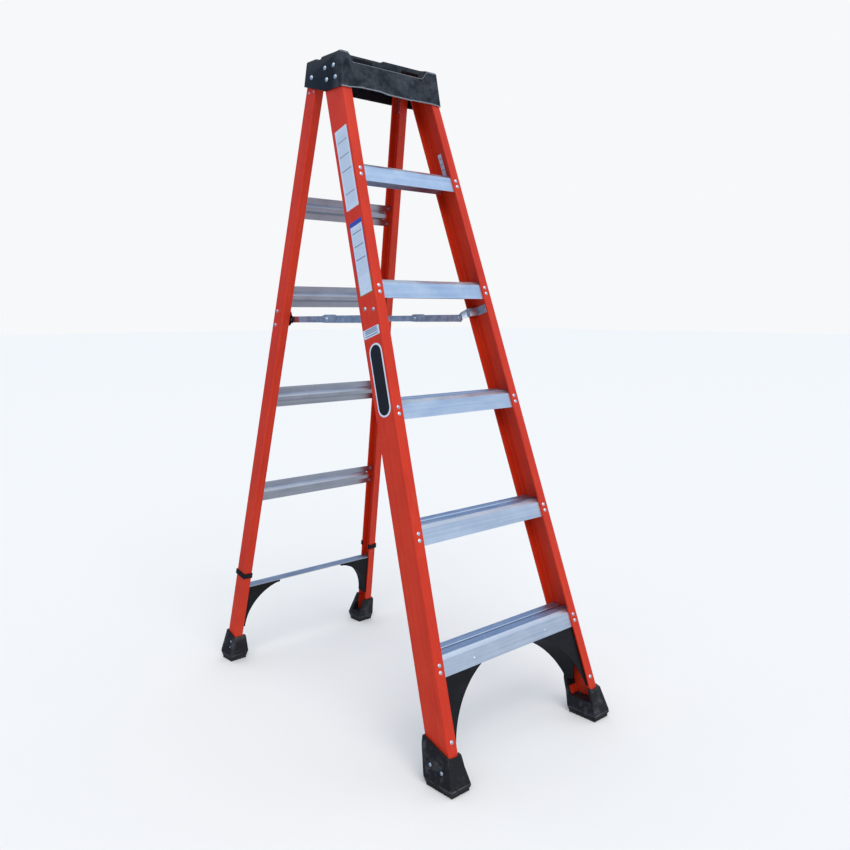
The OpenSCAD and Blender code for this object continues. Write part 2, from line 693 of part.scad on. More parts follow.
// A bent strap from the inside of the front web, past the rear flange, to the arm's pivot
strap_height = 24;
module front_bracket(side) {
    s0 = sf(front_bracket_z, front_web / 2);
    web_in = xf(front_bracket_z, front_web / 2) - rail_wall / cos(front_flare);
    edge = xf(front_bracket_z, front_web) - front_flange - 3;
    eye_v = front_web + link_front_gap;
    eye_s = (link_front[1] + eye_v * sin(front_lean)) / cos(front_lean);
    color(zinc) sided(side) difference() {
        union() {
            front_axes() translate([rail_wall, 8, wf(front_bracket_z, front_web / 2, 0) - strap_height / 2])
                cube([tab_wall, front_web - 25.7, strap_height]);
            in_front() translate([0, 0, s0 - strap_height / 2]) intersection() {
                linear_extrude(strap_height) polygon([
                    [-web_in + 1.4, front_web - 18.7], [-edge - tab_wall, front_web - 9.7],
                    [-edge - tab_wall, front_web + 2],
                    [-tab_out, front_web + 12], [-tab_out, eye_v + 12], [-tab_in, eye_v + 12],
                    [-tab_in, front_web + 10.5], [-edge, front_web + 0.5], [-edge, front_web - 10.9],
                    [-web_in + 4, front_web - 20.7]]);
                translate([0, 0, strap_height / 2]) in_strap_shape(eye_v, eye_s - s0);
            }
            in_front() translate([0, eye_v, eye_s]) rod_x(-tab_out, -tab_in, 11);
        }
        translate([0, link_front[0], link_front[1]]) rod_x(-front_half, 0, pin_r + rivet_clear);
        front_axes() for (v = front_bracket_rivet_places)
            out_of_web(v, wf(front_bracket_z, v, 0)) rivet_hole(rail_wall + tab_wall);
    }
}
module in_strap_shape(eye_v, eye_ds) {
    half = strap_height / 2;
    along_x(-front_half, 0) polygon([
        [40, -half], [front_web, -half], [eye_v - 3, eye_ds - 11], [eye_v + 3, eye_ds - 10.6],
        [eye_v + 3, eye_ds + 10.6], [eye_v - 3, eye_ds + 11], [front_web, half], [40, half]]);
}
// A moulded block in each rear rail carries the rear arm's pivot
module rear_bracket(side) {
    z = link_rear_z;
    web_in = xr(z, 20) - rail_wall / cos(rear_flare);
    s0 = sr(z, link_rear_gap);
    color(black) sided(side) difference() {
        union() {
            // the base on the web
            rear_axes() translate([rail_wall, rail_wall + 3, wr(z - 26, 20, 0)])
                cube([9, rear_web - 2 * rail_wall - 6, 60]);
            // the arm of the block, which reaches in past the flange
            in_rear() translate([0, 0, s0]) along_x(-web_in + 6, -lug_in) polygon([
                [rail_wall + 3, -20], [rear_web - rail_wall - 8, -20], [rear_web - rail_wall - 8, 22],
                [rail_wall + 3, 22]]);
            in_rear() translate([0, 0, s0]) along_x(-lug_out, -lug_in) union() {
                translate([link_rear_gap, 0]) circle(11);
                polygon([
                    [link_rear_gap, -11], [rail_wall + 4, -20], [rail_wall + 4, 22], [link_rear_gap, 11]]);
            }
        }
        translate([0, link_rear[0], link_rear[1]]) rod_x(-front_half, 0, pin_r + rivet_clear);
        rear_axes() for (p = rear_bracket_rivet_places)
            out_of_web(p[0], wr(p[1], p[0], 0)) rivet_hole(rail_wall + 9);
        rear_axes() for (p = rear_bracket_rivet_places)
            out_of_web(p[0], wr(p[1], p[0], 0)) translate([0, 0, -70])
                cylinder(h = 70 - rail_wall - 9, r = 5.5);
    }
}

// ---- feet and gussets --------------------------------------------------------------------------

module front_foot_shape() {
    h = foot_height;
    toe = front_y - front_foot_toe;
    heel = yf(0, front_web) + 15;
    intersection() {
        along_x(-front_half - 40, 0) polygon([
            [toe + 4, tread_pad], [toe + 1, tread_pad + 6], [yf(84, -foot_wall), 84],
            [yf(h, front_web + foot_wall) - 3, h + 2], [yf(h, front_web + foot_wall) - 5, h - 20],
            [heel, 24], [heel - 6, tread_pad]]);
        along_y(front_y - 60, front_y + 200) polygon([
            [-front_half - 12, tread_pad], [-front_half - 15, 20], [-xf(h, 0) - foot_wall - 1, h + 4],
            [-xf(h, 0) + front_flange + foot_wall, h + 4], [-front_half + front_flange + 15, 56],
            [-front_half + 51, 18], [-front_half + 49, tread_pad]]);
    }
}
module rail_space(web, flange, grow) {
    translate([-grow, -grow, -100]) cube([flange + 2 * grow, web + 2 * grow, 600]);
}
module front_foot(side) {
    clear = 0.15;
    color(black) sided(side) difference() {
        front_foot_shape();
        // the rail's channel, with a plug left inside it at the bottom
        intersection() {
            level_slab(rail_lift - 0.5, FAR);
            difference() {
                front_axes() rail_space(front_web, front_flange, clear);
                intersection() {
                    level_slab(0, 50);
                    front_axes() translate([rail_wall + 3, rail_wall + 3, -100])
                        cube([60, front_web - 2 * rail_wall - 6, 600]);
                }
            }
        }
        // open inner side above the plug
        intersection() {
            level_slab(50, FAR);
            front_axes() translate([rail_wall, rail_wall, -100])
                cube([100, front_web - 2 * rail_wall, 600]);
        }
        front_axes() for (p = front_foot_rivet_places)
            out_of_web(p[0], wf(p[1], p[0], 0)) foot_rivet_hole(front_foot_seat);
        // room for the gusset's rivet and the dip in the front edge that shows the flange
        front_axes() translate([rail_wall + 1, -30, wf(84, 0, 0)])
            cube([front_flange - rail_wall - 3, 35, 60]);
    }
}
// A rivet's hole through a foot, with a recess from the seat of its head outwards
module foot_rivet_hole(seat) {
    translate([0, 0, 20]) rivet_hole(20 + rail_wall + 8);
    translate([0, 0, seat]) cylinder(h = 30, r = rivet_head_r + 1.6);
}
module rear_foot_shape() {
    h = foot_height - 8;
    toe = rear_y - foot_wall - 2;
    heel = yr(0, rear_web) + rear_foot_heel;
    intersection() {
        along_x(-rear_half - 40, 0) polygon([
            [toe + 3, tread_pad], [toe - 2, 22], [yr(h - 18, -foot_wall), h - 18],
            [yr(h, rear_web + foot_wall), h],
            [heel, 24], [heel - 5, tread_pad]]);
        along_y(rear_y - 60, rear_y + 200) polygon([
            [-rear_half - 4, tread_pad], [-rear_half - 7, 22], [-xr(h, 0) - foot_wall, h + 4],
            [-xr(h, 0) + rear_flange + foot_wall, h + 4], [-rear_half + 57, 26],
            [-rear_half + 52, tread_pad]]);
    }
}
module rear_foot(side) {
    clear = 0.15;
    color(black) sided(side) difference() {
        rear_foot_shape();
        intersection() {
            level_slab(rail_lift - 0.5, FAR);
            difference() {
                rear_axes() rail_space(rear_web, rear_flange, clear);
                intersection() {
                    level_slab(0, 40);
                    rear_axes() translate([rail_wall + 3, rail_wall + 3, -100])
                        cube([60, rear_web - 2 * rail_wall - 6, 600]);
                }
            }
        }
        intersection() {
            level_slab(40, FAR);
            rear_axes() translate([rail_wall, rail_wall, -100])
                cube([100, rear_web - 2 * rail_wall, 600]);
        }
        rear_axes() for (p = rear_foot_rivet_places)
            out_of_web(p[0], wr(p[1], p[0], 0)) foot_rivet_hole(foot_wall);
    }
}
// A rubber pad under a foot, cut into bars
module tread(x0, x1, y0, y1) {
    color(rubber) difference() {
        translate([x0, y0, 0]) cube([x1 - x0, y1 - y0, tread_pad]);
        count = floor((y1 - y0) / 11);
        for (k = [1:count]) translate([x0 - 1, y0 + k * (y1 - y0) / (count + 1) - 1.5, -1])
            cube([x1 - x0 + 2, 3, 4]);
        translate([(x0 + x1) / 2 - 1.5, y0 - 1, -1]) cube([3, y1 - y0 + 2, 4]);
    }
}
module front_tread(side) {
    sided(side) tread(-front_half - 11, -front_half + 48, front_y - front_foot_toe + 4.5,
                      yf(0, front_web) + 8);
}
module rear_tread(side) {
    sided(side) tread(-rear_half - 3.5, -rear_half + 51.5, rear_y - foot_wall + 1.5,
                      yr(0, rear_web) + rear_foot_heel - 5.5);
}

// A gusset's outline in a frame's plane: a corner piece with a hollow, round inner edge
module gusset_outline(corner, reach, top, foot, bow) {
    // the round edge runs from [reach, top] down to [foot[0], foot[1]] about a centre outside it
    chord = norm([reach - foot[0], top - foot[1]]);
    radius = (chord * chord / 4 + bow * bow) / (2 * bow);
    mid = [(reach + foot[0]) / 2, (top + foot[1]) / 2];
    out = [-(top - foot[1]), (reach - foot[0])] / chord;
    centre = mid + out * (radius - bow) * (out[0] < 0 ? -1 : 1);
    difference() {
        polygon(concat([[reach, top]], corner, [foot]));
        translate(centre) circle(radius, $fn = 96);
    }
}
// The arch leaves the front plate at arch_top_z, and ends in a tab at arch_tab_z behind the depth arch_tab_v
arch_top_z = 182;
arch_tab_z = 116;
arch_tab_v = 45;
module front_gusset_outline(grow) {
    top = tread_z(1) - 14;
    low = tread_z(1) - step_skirt;
    foot = gusset_foot_rivet_z - 20;
    gusset_outline(
        [[-front_gusset_reach + grow, sf(top, 0)],
         [-xf(top, 0) + 26, sf(top, 0)], [-xf(low, 0) + 26, sf(low, 0) - 1],
         [-xf(low, 0) + rail_wall + 3, sf(low, 0) - 4], [-xf(foot, 0) + rail_wall + 3, sf(foot, 0)]],
        -front_gusset_reach + grow, sf(low, 0), [-xf(foot, 0) + front_flange + 3 + grow, sf(foot, 0)],
        front_gusset_bow);
}
boss_r = 6;
// A boss round a rivet, from the back of the wall that the rivet's head is on
module boss(wall, depth) {
    translate([0, 0, -wall - depth]) cylinder(h = depth, r = boss_r);
}
module gusset_foot_rivet_site() {
    out_of_front(rivet_inset, wf(gusset_foot_rivet_z, 0, rivet_inset)) children();
}
module front_gusset(side) {
    v0 = rail_wall + step_wall;
    v1 = front_web - v0;
    color(black) sided(side) difference() {
        union() {
            in_front() {
                for (v = [v0, v1 - gusset_wall]) along_y(v, v + gusset_wall) front_gusset_outline(0);
                // the arch that joins the two plates, cut away towards the foot
                difference() {
                    along_y(v0, v1) difference() {
                        front_gusset_outline(0);
                        front_gusset_outline(-gusset_wall);
                    }
                    along_x(-front_half, 0) polygon([
                        [0, sf(arch_top_z, 0)], [arch_tab_v, sf(arch_tab_z, 0)],
                        [front_web, sf(arch_tab_z, 0)], [front_web, 0], [0, 0]]);
                }
            }
            front_axes() gusset_foot_rivet_site() boss(rail_wall, step_wall + gusset_wall / 2);
        }
        front_axes() gusset_foot_rivet_site() rivet_hole(rail_wall + step_wall + gusset_wall);
        gusset_step_rivet_site() rivet_hole(step_wall + gusset_wall);
    }
}
module rear_gusset_outline(grow) {
    top = bar_height - bar_wall - gusset_gap;
    foot = foot_height + 4;
    gusset_outline(
        [[-xr(top, 0) + rail_wall + 3, sr(top, 0)], [-xr(foot, 0) + rail_wall + 3, sr(foot, 0)]],
        -rear_gusset_reach + grow, sr(top, 0) - 6, [-xr(foot, 0) + rear_flange + 8 + grow, sr(foot, 0)],
        rear_gusset_bow);
    translate([-xr(top, 0) + rail_wall + 3, sr(top, 0) - 8])
        square([xr(top, 0) - rail_wall - 3 - rear_gusset_reach + grow, 8]);
}
module rear_gusset(side) {
    v0 = rail_wall + 0.4;
    v1 = rear_web - rail_wall - bar_wall - gusset_gap;
    color(black) sided(side) difference() {
        union() {
            intersection() {
                level_slab(0, bar_height - bar_wall - gusset_gap);
                in_rear() union() {
                    along_y(v0, v0 + gusset_wall) rear_gusset_outline(0);
                    along_y(v1 - gusset_wall, v1) rear_gusset_outline(0);
                    along_y(v0, v1) difference() {
                        rear_gusset_outline(0);
                        rear_gusset_outline(-gusset_wall);
                    }
                }
            }
            rear_axes() for (z = rear_gusset_rivet_zs) rear_rivet_site(z, hat_rivet_u)
                boss(rail_wall, bar_wall + gusset_gap + gusset_wall / 2);
        }
        rear_axes() {
            for (z = rear_gusset_rivet_zs) rear_rivet_site(z, hat_rivet_u) rivet_hole(bar_grip);
            bar_rivet_sites() rivet_hole(bar_grip);
        }
    }
}

// A C-shaped clip on each rear rail keeps the folded frames apart
clip_wall = 2.4;
clip_height = 16;
clip_z = 298;
module rail_clip(side) {
    web = rear_web;
    flange = rear_flange;
    color(black) sided(side) rear_axes() translate([0, 0, wr(clip_z, 0, 0) - clip_height / 2])
        linear_extrude(clip_height) difference() {
            translate([-clip_wall, -clip_wall]) square([flange + 2 * clip_wall, web + 2 * clip_wall]);
            square([flange, web]);
            translate([flange - 1, rail_wall + 3]) square([flange, web - 2 * rail_wall - 6]);
            translate([0, rail_wall]) square([flange + 0.01, web - 2 * rail_wall]);
        }
}

// ---- rivets ------------------------------------------------------------------------------------

module step_front_rivets() {
    color(zinc) both_sides() front_axes() for (i = [1:5]) step_rivet_sites(i) {
        rivet(rail_wall + step_wall);
        union();
    }
}
module step_rear_rivets() {
    color(zinc) both_sides() front_axes() for (i = [1:5]) step_rivet_sites(i) {
        union();
        rivet(rail_wall + step_wall);
    }
}
module cap_rivets() {
    color(zinc) both_sides() front_axes() for (p = cap_rivet_places)
        out_of_web(p[0], wf(top_z - p[1], p[0], 0)) translate([0, 0, cap_wall])
            rivet(rail_wall + cap_wall, cap_rivet_head_r);
}
module horizontal_rivets() {
    color(zinc) both_sides() rear_axes() hat_rivet_sites() rivet(rail_wall + hat_wall);
}
module bottom_bar_rivets() {
    color(zinc) both_sides() rear_axes() bar_rivet_sites() rivet(bar_grip);
}
module front_foot_rivets() {
    color(zinc) both_sides() front_axes() for (p = front_foot_rivet_places)
        out_of_web(p[0], wf(p[1], p[0], 0)) translate([0, 0, front_foot_seat])
            rivet(rail_wall + front_foot_seat);
}
module rear_foot_rivets() {
    color(zinc) both_sides() rear_axes() for (p = rear_foot_rivet_places)
        out_of_web(p[0], wr(p[1], p[0], 0)) translate([0, 0, foot_wall]) rivet(rail_wall + foot_wall, 4);
}
module front_gusset_rivets() {
    color(zinc) both_sides() {
        front_axes() gusset_foot_rivet_site() rivet(rail_wall + step_wall + gusset_wall);
        gusset_step_rivet_site() rivet(step_wall + gusset_wall, 3.8);
    }
}
module rear_gusset_rivets() {
    color(zinc) both_sides() rear_axes() for (z = rear_gusset_rivet_zs)
        rear_rivet_site(z, hat_rivet_u) rivet(bar_grip);
}
module front_bracket_rivets() {
    color(zinc) both_sides() front_axes() for (v = front_bracket_rivet_places)
        out_of_web(v, wf(front_bracket_z, v, 0)) rivet(rail_wall + tab_wall);
}
module rear_bracket_rivets() {
    color(zinc) both_sides() rear_axes() for (p = rear_bracket_rivet_places)
        out_of_web(p[0], wr(p[1], p[0], 0)) rivet(rail_wall + 9);
}
module hinge_plate_rivets() {
    color(zinc) both_sides() rear_axes() for (p = hinge_plate_rivet_places)
        out_of_web(p[0], wr(p[1], p[0], 0)) rivet(rail_wall + gusset_wall, 3, 2);
}

for (side = SIDES) {
    front_rail(side);
    rear_rail(side);
    front_foot(side);
    rear_foot(side);
    front_tread(side);
    rear_tread(side);
    front_gusset(side);
    front_arm(side);
    rear_arm(side);
    centre_rivet(side);
    front_bracket(side);
    rear_bracket(side);
    hinge_plate(side);
    rear_gusset(side);
    rail_clip(side);
}
for (i = [1:5]) step(i);
for (i = [1:4]) rear_horizontal(i);
rear_bottom_bar();
top_cap();
hinge_bolts();
hinge_washers();
front_arm_pins();
rear_arm_pins();
step_front_rivets();
step_rear_rivets();
cap_rivets();
horizontal_rivets();
bottom_bar_rivets();
front_foot_rivets();
rear_foot_rivets();
front_gusset_rivets();
rear_gusset_rivets();
front_bracket_rivets();
rear_bracket_rivets();
hinge_plate_rivets();
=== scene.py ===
import math

import bmesh
import bpy
from mathutils import Matrix, Vector


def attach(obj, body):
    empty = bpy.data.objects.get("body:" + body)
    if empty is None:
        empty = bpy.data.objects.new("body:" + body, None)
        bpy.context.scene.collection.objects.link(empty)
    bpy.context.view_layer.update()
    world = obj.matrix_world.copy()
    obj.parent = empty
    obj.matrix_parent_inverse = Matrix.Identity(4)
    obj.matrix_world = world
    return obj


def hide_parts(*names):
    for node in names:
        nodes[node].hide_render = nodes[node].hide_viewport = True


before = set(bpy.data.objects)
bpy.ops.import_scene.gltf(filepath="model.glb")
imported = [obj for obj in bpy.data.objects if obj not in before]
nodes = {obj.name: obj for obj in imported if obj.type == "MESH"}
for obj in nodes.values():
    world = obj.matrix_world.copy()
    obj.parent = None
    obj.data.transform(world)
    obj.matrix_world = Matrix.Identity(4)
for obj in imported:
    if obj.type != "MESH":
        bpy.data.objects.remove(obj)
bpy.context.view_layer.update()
SIDES = (("left", -1), ("right", 1))


# --- The view ----------------------------------------------------------------------------------
# The ladder is seen from the front left, a little above the middle of its height.
view = bpy.data.cameras.new("view")
view.sensor_width = 36
view.lens = 35.65
view.shift_x = -0.0065
view.shift_y = 0.0148
viewer = bpy.data.objects.new("viewer", view)
viewer.location = (-1.5809, -1.8682, 1.138)
viewer.rotation_euler = (math.pi / 2 - 0.1501, 0, -0.7428)
bpy.context.scene.collection.objects.link(viewer)
bpy.context.scene.camera = viewer


# --- Rails -------------------------------------------------------------------------------------
# Pultruded glass-fibre channels, orange all through. The skin is satin, with a fine grain from
# the fibres along each rail. Its paler streaks are partly scuffs and partly painted highlights.

# A Shade is a value, colour or vector on its way through a finish's nodes. Sums with it add the
# Math nodes, and add() is the one method that makes any other node.
class Shade:
    def __init__(self, tree, socket=None):
        self.tree = tree
        self.socket = socket

    def add(self, kind, sockets, out=0, **settings):
        node = self.tree.nodes.new("ShaderNode" + kind)
        for stop, (place, colour) in enumerate(settings.pop("stops", ())):
            ramp = node.color_ramp.elements
            if stop > 1:
                ramp.new(place)
            ramp[stop].position = place
            ramp[stop].color = (*colour, 1) if len(colour) == 3 else colour
        for name, value in settings.items():
            setattr(node, name, value)
        for name, value in sockets.items():
            if isinstance(value, Shade):
                self.tree.links.new(value.socket, node.inputs[name])
            else:
                node.inputs[name].default_value = value
        return Shade(self.tree, node.outputs[out])

    def math(self, operation, *others):
        return self.add("Math", dict(enumerate((self, *others))), operation=operation)

    def __add__(self, other):
        return self.math("ADD", other)

    __radd__ = __add__

    def __sub__(self, other):
        return self.math("SUBTRACT", other)

    def __rsub__(self, other):
        return self.add("Math", {0: other, 1: self}, operation="SUBTRACT")

    def __mul__(self, other):
        return self.math("MULTIPLY", other)

    __rmul__ = __mul__

    def mixed(self, first, second):
        """Goes from the first colour to the second as this value goes from 0 to 1."""
        ends = [c if isinstance(c, Shade) else (*c, 1) for c in (first, second)]
        return self.add("Mix", {0: self, 6: ends[0], 7: ends[1]}, out=2, data_type="RGBA")

    def ramp(self, low, high, to_low=0.0, to_high=1.0):
        """Takes low to high onto to_low to to_high, and holds the ends."""
        return self.add("MapRange", {"Value": self, 1: low, 2: high, 3: to_low, 4: to_high})

    def noise(self, place, scale, detail=3.0, roughness=0.5):
        return self.add("TexNoise", {
            "Vector": place, "Scale": scale, "Detail": detail, "Roughness": roughness})

    def part(self, axis):
        """One part of a vector: 0 is its X, 1 its Y and 2 its Z."""
        return self.add("SeparateXYZ", {"Vector": self}, out=axis)

    def place(self, turn=(0, 0, 0), stretch=(1, 1, 1)):
        """Where a point is on the piece, in metres, turned and stretched for a pattern."""
        coordinates = self.add("TexCoord", {}, out=3)
        turned = self.add("Mapping", {"Vector": coordinates, "Rotation": turn})
        return self.add("Mapping", {"Vector": turned, "Scale": stretch})

    def bump(self, height, distance, strength=1.0):
        return self.add("Bump", {"Height": height, "Distance": distance, "Strength": strength})


def finish(name, **constants):
    """A new finish: the material, a Shade to write it with, and its Principled shader."""
    material = bpy.data.materials.new(name)
    material.use_nodes = True
    tree = material.node_tree
    tree.nodes.clear()
    shader = tree.nodes.new("ShaderNodeBsdfPrincipled")
    tree.links.new(shader.outputs[0], tree.nodes.new("ShaderNodeOutputMaterial").inputs[0])
    for socket, value in constants.items():
        shader.inputs[socket.replace("_", " ")].default_value = value
    return material, Shade(tree), shader


def lay_on(shade, shader, **varying):
    """Gives a shader's sockets the values and colours that vary over the surface."""
    for socket, value in varying.items():
        shade.tree.links.new(value.socket, shader.inputs[socket.replace("_", " ")])


def dress(names, material, soften=0.0, segments=2):
    """Gives CAD nodes their finish, and rounds their edges where soften is set."""
    for name in names:
        nodes[name].data.materials.clear()
        nodes[name].data.materials.append(material)
        if soften:
            bevel = nodes[name].modifiers.new("soften", "BEVEL")
            bevel.width = soften
            bevel.segments = segments
            bevel.limit_method = "ANGLE"
            bevel.angle_limit = math.radians(35)
            bevel.harden_normals = True
    return material


def pair(*names):
    """The left and right node of each name."""
    return [f"{name}_{side}" for name in names for side, _ in SIDES]


# how far each frame leans from upright, and how far its rails spread from upright to the sides
FRONT_LEAN = math.radians(18)
REAR_LEAN = math.radians(11.86)
FRONT_FLARE = math.radians(3.81)
REAR_FLARE = math.radians(3.9)


def rail_finish(name, lean, flare):
    """Satin glass-fibre skin, its grain drawn out along a rail that leans and flares."""
    material, s, shader = finish(
        name, Specular_IOR_Level=0.3, Coat_Weight=0.06, Coat_Roughness=0.28)
    along = s.place(turn=(lean, 0, 0))
    along = s.add("Mapping", {"Vector": along, "Rotation": (0, flare, 0)})
    fibre = s.add("Mapping", {"Vector": along, "Scale": (1, 1, 0.012)})
    streak_place = s.add("Mapping", {"Vector": along, "Scale": (1, 1, 0.25)})
    fine = s.noise(fibre, 900, 3)
    coarse = s.noise(fibre, 130, 4, 0.6)
    patch = s.noise(along, 7, 4, 0.6)
    # paler streaks, partly scuffs and partly painted highlights on the skin
    scuff_and_highlight = s.noise(streak_place, 60, 5, 0.7).ramp(0.56, 0.75)
    speck = s.noise(along, 420, 2).ramp(0.62, 0.74)
    tone = (coarse * 0.5 + patch * 0.5).ramp(0.33, 0.67)
    colour = tone.mixed((0.52, 0.018, 0.003), (0.67, 0.036, 0.006))
    colour = (scuff_and_highlight * 0.3).mixed(colour, (0.60, 0.11, 0.045))
    colour = (speck * 0.2).mixed(colour, (0.36, 0.014, 0.006))
    lay_on(s, shader, Base_Color=colour, Roughness=tone.ramp(0, 1, 0.5, 0.4) + scuff_and_highlight * 0.12,
           Normal=s.bump(fine * 0.6 + coarse * 0.4, 0.00012, 0.5))
    return material


for end, lean, flare in (("front", FRONT_LEAN, FRONT_FLARE), ("rear", -REAR_LEAN, REAR_FLARE)):
    for side, sign in SIDES:
        skin = rail_finish(f"fibreglass_{end}_{side}", lean, sign * flare)
        dress([f"{end}_rail_{side}"], skin)


# --- Labels and badge --------------------------------------------------------------------------
# Thin printed vinyl stickers on the left front rail's web, and one strip inside the right rail.
# Their print is plain blocks and rules only. The badge is a blank black plate with a pale
# border, and is glued on below them.
FRONT_HALF = 0.2956
FRONT_Y = -0.554583
RAIL_WALL = 0.004


def on_front_web(sign, up_rail, behind, inset=0.0):
    """A frame on a front rail's web, whose X runs up the rail and Y runs back.

    The place is measured up the rails' front plane, and square behind it.
    """
    half = FRONT_HALF - up_rail * math.tan(FRONT_FLARE) - inset
    sine, cosine = math.sin(FRONT_LEAN), math.cos(FRONT_LEAN)
    up = Vector((-sign * math.tan(FRONT_FLARE), sine, cosine)).normalized()
    back = Vector((0, cosine, -sine))
    axes = Matrix((up, back, up.cross(back))).transposed().to_4x4()
    axes.translation = (sign * half, FRONT_Y + up_rail * sine + behind * cosine,
                        up_rail * cosine - behind * sine)
    return axes


CORNER_STEPS = 6


def sticker(name, place, length, width, radius, thickness=0.0003):
    """A thin plate with rounded corners and a softened rim, centred on its own origin."""
    bm = bmesh.new()
    outline = []
    for turn, (cx, cy) in enumerate(((1, 1), (-1, 1), (-1, -1), (1, -1))):
        for step in range(CORNER_STEPS + 1):
            angle = math.pi / 2 * (turn + step / CORNER_STEPS)
            x = cx * (length / 2 - radius) + radius * math.cos(angle)
            y = cy * (width / 2 - radius) + radius * math.sin(angle)
            outline.append((x, y))
    rings = [[bm.verts.new((x * size, y * size, z)) for x, y in outline]
             for size, z in ((1, 0), (1, thickness * 0.7), (0.994, thickness))]
    for low, high in zip(rings, rings[1:]):
        for i in range(len(low)):
            j = (i + 1) % len(low)
            bm.faces.new((low[i], low[j], high[j], high[i]))
    bm.faces.new(rings[-1])
    bm.faces.new(rings[0][::-1])
    mesh = bpy.data.meshes.new(name)
    bm.to_mesh(mesh)
    bm.free()
    piece = bpy.data.objects.new(name, mesh)
    piece.matrix_world = place
    bpy.context.scene.collection.objects.link(piece)
    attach(piece, "front_frame")
    return piece


SOFT_EDGE = 0.0003


def between(value, low, high, soft=SOFT_EDGE):
    """1 where a value lies between low and high, with a soft edge, else 0."""
    return value.ramp(low - soft, low) * value.ramp(high, high + soft, 1, 0)


RULES_PER_METRE = 170
HEAVY_RULES = (0.34, 0.16, -0.02, -0.3)
HEAVY_RULE_HALF = 0.0012


def print_finish(name, length, width, rim, rim_colour, header=0.0, foot=0.0, foot_colour=None):
    """Pale vinyl with a coloured rim, a header block, faint rules and a framed foot."""
    material, s, shader = finish(name, Specular_IOR_Level=0.4)
    at = s.place()
    x, y = at.part(0), at.part(1)
    end, side = length / 2, width / 2
    vinyl = s.noise(at, 90, 4, 0.6).ramp(0.3, 0.7)
    vinyl = vinyl.mixed((0.50, 0.60, 0.76), (0.60, 0.69, 0.82))
    rules = (x * RULES_PER_METRE).math("FRACT").ramp(0.52, 0.6)
    ruled = between(y, -0.36 * width, 0.36 * width)
    ruled = ruled * between(x, -0.45 * length, 0.45 * length - header)
    colour = (rules * ruled * 0.32).mixed(vinyl, (0.2, 0.24, 0.32))
    for share in HEAVY_RULES:
        middle = share * length
        rule = between(x, middle - HEAVY_RULE_HALF, middle + HEAVY_RULE_HALF)
        rule = rule * between(y, -0.38 * width, 0.38 * width)
        colour = (rule * 0.75).mixed(colour, (0.06, 0.08, 0.14))
    # the header and the rim are one colour, and the foot's rim is another
    clear = between(y, -side + rim, side - rim)
    border = 1 - clear * between(x, -end + foot, end - max(rim, header))
    if foot:
        panel = between(x, -end, -end + foot)
        window = panel * clear * between(x, -end + rim, -end + foot)
        colour = window.mixed(panel.mixed(colour, foot_colour), vinyl)
        border = border * x.ramp(-end + foot - SOFT_EDGE, -end + foot)
    colour = border.mixed(colour, rim_colour)
    grime = s.noise(at, 260, 5, 0.7).ramp(0.55, 0.75)
    colour = (grime * 0.25).mixed(colour, (0.25, 0.22, 0.2))
    lay_on(s, shader, Base_Color=colour, Roughness=grime.ramp(0, 1, 0.38, 0.6),
           Normal=s.bump(s.noise(at, 320, 3), 0.00005, 0.4))
    return material


# each label's rail, its place up and behind the rail's front plane, its length, width and print
LABELS = (
    ("label_upper", -1, 1.598, 0.0372, 0.224, 0.0535,
     dict(rim=0.0012, rim_colour=(0.62, 0.70, 0.82))),
    ("label_lower", -1, 1.352, 0.0357, 0.200, 0.0525,
     dict(rim=0.0016, rim_colour=(0.035, 0.06, 0.36), header=0.013,
          foot=0.052, foot_colour=(0.03, 0.34, 0.18))),
    ("label_small", -1, 1.151, 0.0405, 0.024, 0.066,
     dict(rim=0.0015, rim_colour=(0.55, 0.66, 0.82))),
    ("label_inner", 1, 1.642, 0.0462, 0.092, 0.0140,
     dict(rim=0.001, rim_colour=(0.36, 0.44, 0.6))),
)
LABEL_CORNER = 0.0015
for label, sign, up_rail, behind, length, width, look in LABELS:
    # the label on the right rail is inside it, behind its wall
    inset = RAIL_WALL / math.cos(FRONT_FLARE) if sign > 0 else 0
    place = on_front_web(sign, up_rail, behind, inset)
    piece = sticker(label, place, length, width, LABEL_CORNER)
    piece.data.materials.append(print_finish(f"{label}_print", length, width, **look))

BADGE_AT = (1.0235, 0.0358)
BADGE_LENGTH = 0.193
BADGE_WIDTH = 0.0515
BADGE_CORNER = 0.0235
BADGE_THICKNESS = 0.0008
BORDER_FROM = 0.0214
badge = sticker("badge", on_front_web(-1, *BADGE_AT), BADGE_LENGTH, BADGE_WIDTH,
                BADGE_CORNER, BADGE_THICKNESS)
ink, s, shader = finish("badge_ink", Specular_IOR_Level=0.5)
at = s.place()
x, y = at.part(0), at.part(1)
# the distance from the badge's long middle line gives a border of even width round its ends
beyond = (x.math("ABSOLUTE") - (BADGE_LENGTH - BADGE_WIDTH) / 2).math("MAXIMUM", 0.0)
from_middle = (beyond * beyond + y * y).math("SQRT")
border = from_middle.ramp(BORDER_FROM, BORDER_FROM + 0.0004)
haze = s.noise(at, 120, 4, 0.6)
colour = border.mixed((0.004, 0.004, 0.005), (0.62, 0.72, 0.85))
colour = (haze.ramp(0.6, 0.8) * 0.25).mixed(colour, (0.12, 0.12, 0.13))
lay_on(s, shader, Base_Color=colour, Roughness=haze.ramp(0.3, 0.7, 0.3, 0.5),
       Normal=s.bump(haze, 0.00005, 0.4))
badge.data.materials.append(ink)


# --- Steps, horizontals and bottom bar ---------------------------------------------------------
# Aluminium in its mill finish, extruded and riveted to the rails' flanges. Fine die lines run
# along each piece. Flat tops are painted darker and bluer than skirts, as painted sky reflection,
# and the treads' sunk middles are painted darker still, as painted shade.
RISE = 0.3048
TREAD_SINK = 0.004


